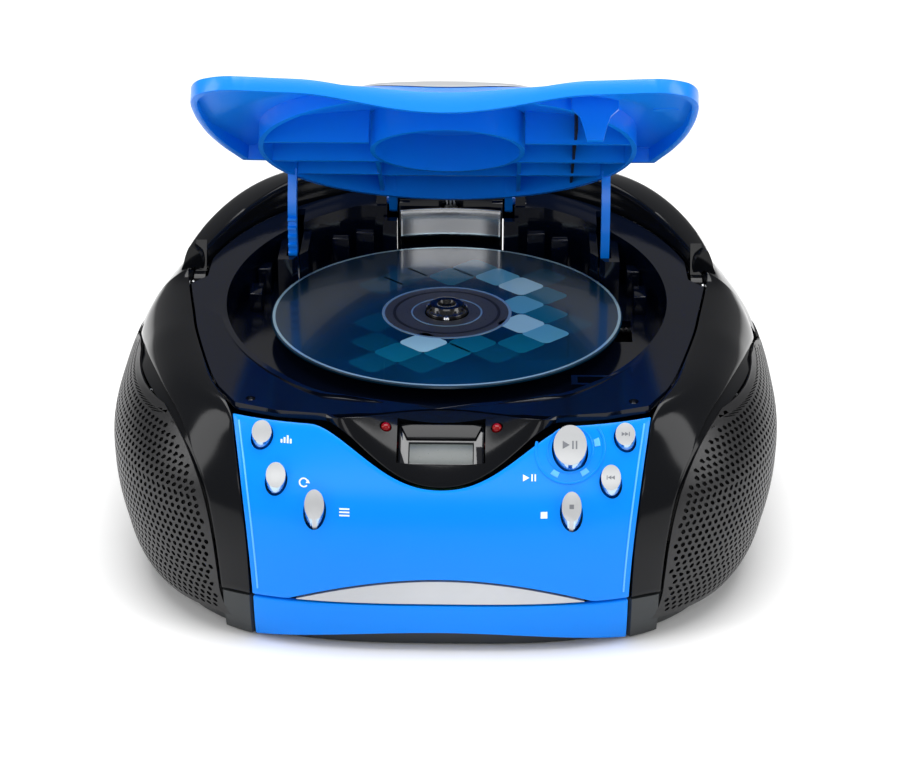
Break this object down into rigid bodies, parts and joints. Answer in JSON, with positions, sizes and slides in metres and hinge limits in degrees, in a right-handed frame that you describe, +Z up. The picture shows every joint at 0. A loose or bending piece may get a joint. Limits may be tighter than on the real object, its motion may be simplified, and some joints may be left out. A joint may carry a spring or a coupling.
{
  "type": "portable CD player",
  "caption": "Portable CD player with a spring-opened top lid over the disc well, side speakers behind perforated grilles, round keys, a display and a folding carry handle.",
  "frame": {"origin": "on the ground under the axis of the disc, which is the middle of the footprint", "axes": "+Z up, +X to the right seen from the front, the front with the keys faces -Y"},
  "size_m": [0.2254, 0.2012, 0.1754],
  "materials": {
    "gloss_blue": "high-gloss bright blue moulding",
    "gloss_black": "high-gloss black moulding",
    "deck_black": "gloss black with a navy cast",
    "dark_grey": "satin dark grey moulding",
    "grille_black": "black perforated sheet steel",
    "silver_plastic": "silver-white satin plastic",
    "bright_metal": "bright plated steel",
    "steel": "drawn steel",
    "black_plastic": "matte black moulding",
    "smoked_window": "smoked clear window",
    "lcd_grey": "grey-green liquid crystal",
    "led_red": "unlit red lens",
    "disc_print": "printed teal and navy disc under lacquer",
    "rubber": "matte black rubber",
    "circuit_board": "green solder mask",
    "speaker_paper": "black paper cone",
    "iron_core": "iron laminations",
    "cell_wrap": "plain dark sleeve",
    "white_plastic": "natural white acetal"
  },
  "bodies": {
    "root": {"front_panel": "gloss_blue", "lower_skirt": "gloss_blue", "left_cap": "gloss_black", "right_cap": "gloss_black", "rear_case": "gloss_black", "display_bezel": "gloss_black", "deck": "deck_black", "bottom_case": "dark_grey", "lid_damper": "dark_grey", "left_grille": "grille_black", "right_grille": "grille_black", "silver_trim": "silver_plastic", "well_backplate": "bright_metal", "spindle_motor": "bright_metal", "sled_motor": "bright_metal", "left_speaker": "bright_metal", "right_speaker": "bright_metal", "front_guide_rod": "steel", "rear_guide_rod": "steel", "left_handle_pin": "steel", "right_handle_pin": "steel", "lid_spring": "steel", "left_contact": "steel", "right_contact": "steel", "drive_chassis": "black_plastic", "battery_bay": "black_plastic", "mains_inlet": "black_plastic", "display_window": "smoked_window", "lcd_panel": "lcd_grey", "indicator_leds": "led_red", "front_foot": "rubber", "rear_foot": "rubber", "main_board": "circuit_board", "control_board": "circuit_board", "left_cone": "speaker_paper", "right_cone": "speaker_paper", "transformer": "iron_core", "volume_pot": "iron_core", "cells_front": "cell_wrap", "cells_middle": "cell_wrap", "cells_rear": "cell_wrap"},
    "lid": {"lid": "gloss_blue", "lid_badge": "silver_plastic"},
    "damper_pinion": {"damper_gear": "white_plastic"},
    "turntable": {"turntable_hub": "black_plastic", "disc": "disc_print"},
    "pickup": {"pickup_sled": "black_plastic", "pickup_lens": "smoked_window"},
    "carry_handle": {"handle": "gloss_black"},
    "battery_cover": {"battery_door": "dark_grey"},
    "volume": {"volume_dial": "dark_grey"},
    "function": {"function_switch": "dark_grey"},
    "bass_key": {"bass_button": "silver_plastic"},
    "repeat_key": {"repeat_button": "silver_plastic"},
    "program_key": {"program_button": "silver_plastic"},
    "play_key": {"play_button": "silver_plastic"},
    "next_key": {"next_button": "silver_plastic"},
    "back_key": {"back_button": "silver_plastic"},
    "stop_key": {"stop_button": "silver_plastic"}
  },
  "joints": [
    {"name": "lid_hinge", "type": "hinge", "parent": "root", "child": "lid", "pos_m": [0, 0.072, 0.089], "axis": [1, 0, 0], "range_deg": [0, 38.8], "stiffness_Nm_per_rad": 0.05, "springref_deg": -91.67},
    {"name": "damper_spin", "type": "hinge", "parent": "root", "child": "damper_pinion", "pos_m": [-0.0549, 0.03437, 0.06166], "axis": [1, 0, 0], "range_deg": [-330, 10]},
    {"name": "disc_spin", "type": "hinge", "parent": "root", "child": "turntable", "pos_m": [0, 0, 0.075], "axis": [0, 0, 1], "continuous": true},
    {"name": "pickup_slide", "type": "slide", "parent": "root", "child": "pickup", "axis": [1, 0, 0], "range_m": [-0.003, 0.03]},
    {"name": "handle_hinge", "type": "hinge", "parent": "root", "child": "carry_handle", "pos_m": [0, 0.017, 0.0784], "axis": [1, 0, 0], "range_deg": [0, 42]},
    {"name": "battery_cover_hinge", "type": "hinge", "parent": "root", "child": "battery_cover", "pos_m": [0, -0.0266, 0.0044], "axis": [1, 0, 0], "range_deg": [-95, 0]},
    {"name": "volume_turn", "type": "hinge", "parent": "root", "child": "volume", "pos_m": [0.048, 0.088, 0.05], "axis": [0, 0, 1], "range_deg": [-135, 135]},
    {"name": "function_slide", "type": "slide", "parent": "root", "child": "function", "axis": [1, 0, 0], "range_m": [-0.005, 0.005]},
    {"name": "bass_press", "type": "slide", "parent": "root", "child": "bass_key", "axis": [0, 0.3746, -0.9272], "range_m": [0, 0.0012], "stiffness_N_per_m": 300, "springref_m": -0.0008},
    {"name": "repeat_press", "type": "slide", "parent": "root", "child": "repeat_key", "axis": [0, 0.3746, -0.9272], "range_m": [0, 0.0012], "stiffness_N_per_m": 300, "springref_m": -0.0008},
    {"name": "program_press", "type": "slide", "parent": "root", "child": "program_key", "axis": [0, 0.3746, -0.9272], "range_m": [0, 0.0012], "stiffness_N_per_m": 300, "springref_m": -0.0008},
    {"name": "play_press", "type": "slide", "parent": "root", "child": "play_key", "axis": [0, 0.3746, -0.9272], "range_m": [0, 0.0012], "stiffness_N_per_m": 300, "springref_m": -0.0008},
    {"name": "next_press", "type": "slide", "parent": "root", "child": "next_key", "axis": [0, 0.3746, -0.9272], "range_m": [0, 0.0012], "stiffness_N_per_m": 300, "springref_m": -0.0008},
    {"name": "back_press", "type": "slide", "parent": "root", "child": "back_key", "axis": [0, 0.3746, -0.9272], "range_m": [0, 0.0012], "stiffness_N_per_m": 300, "springref_m": -0.0008},
    {"name": "stop_press", "type": "slide", "parent": "root", "child": "stop_key", "axis": [0, 0.3746, -0.9272], "range_m": [0, 0.0012], "stiffness_N_per_m": 300, "springref_m": -0.0008}
  ],
  "couplings": [
    {"joint": "damper_spin", "follows": "lid_hinge", "ratio": -8.3}
  ]
}
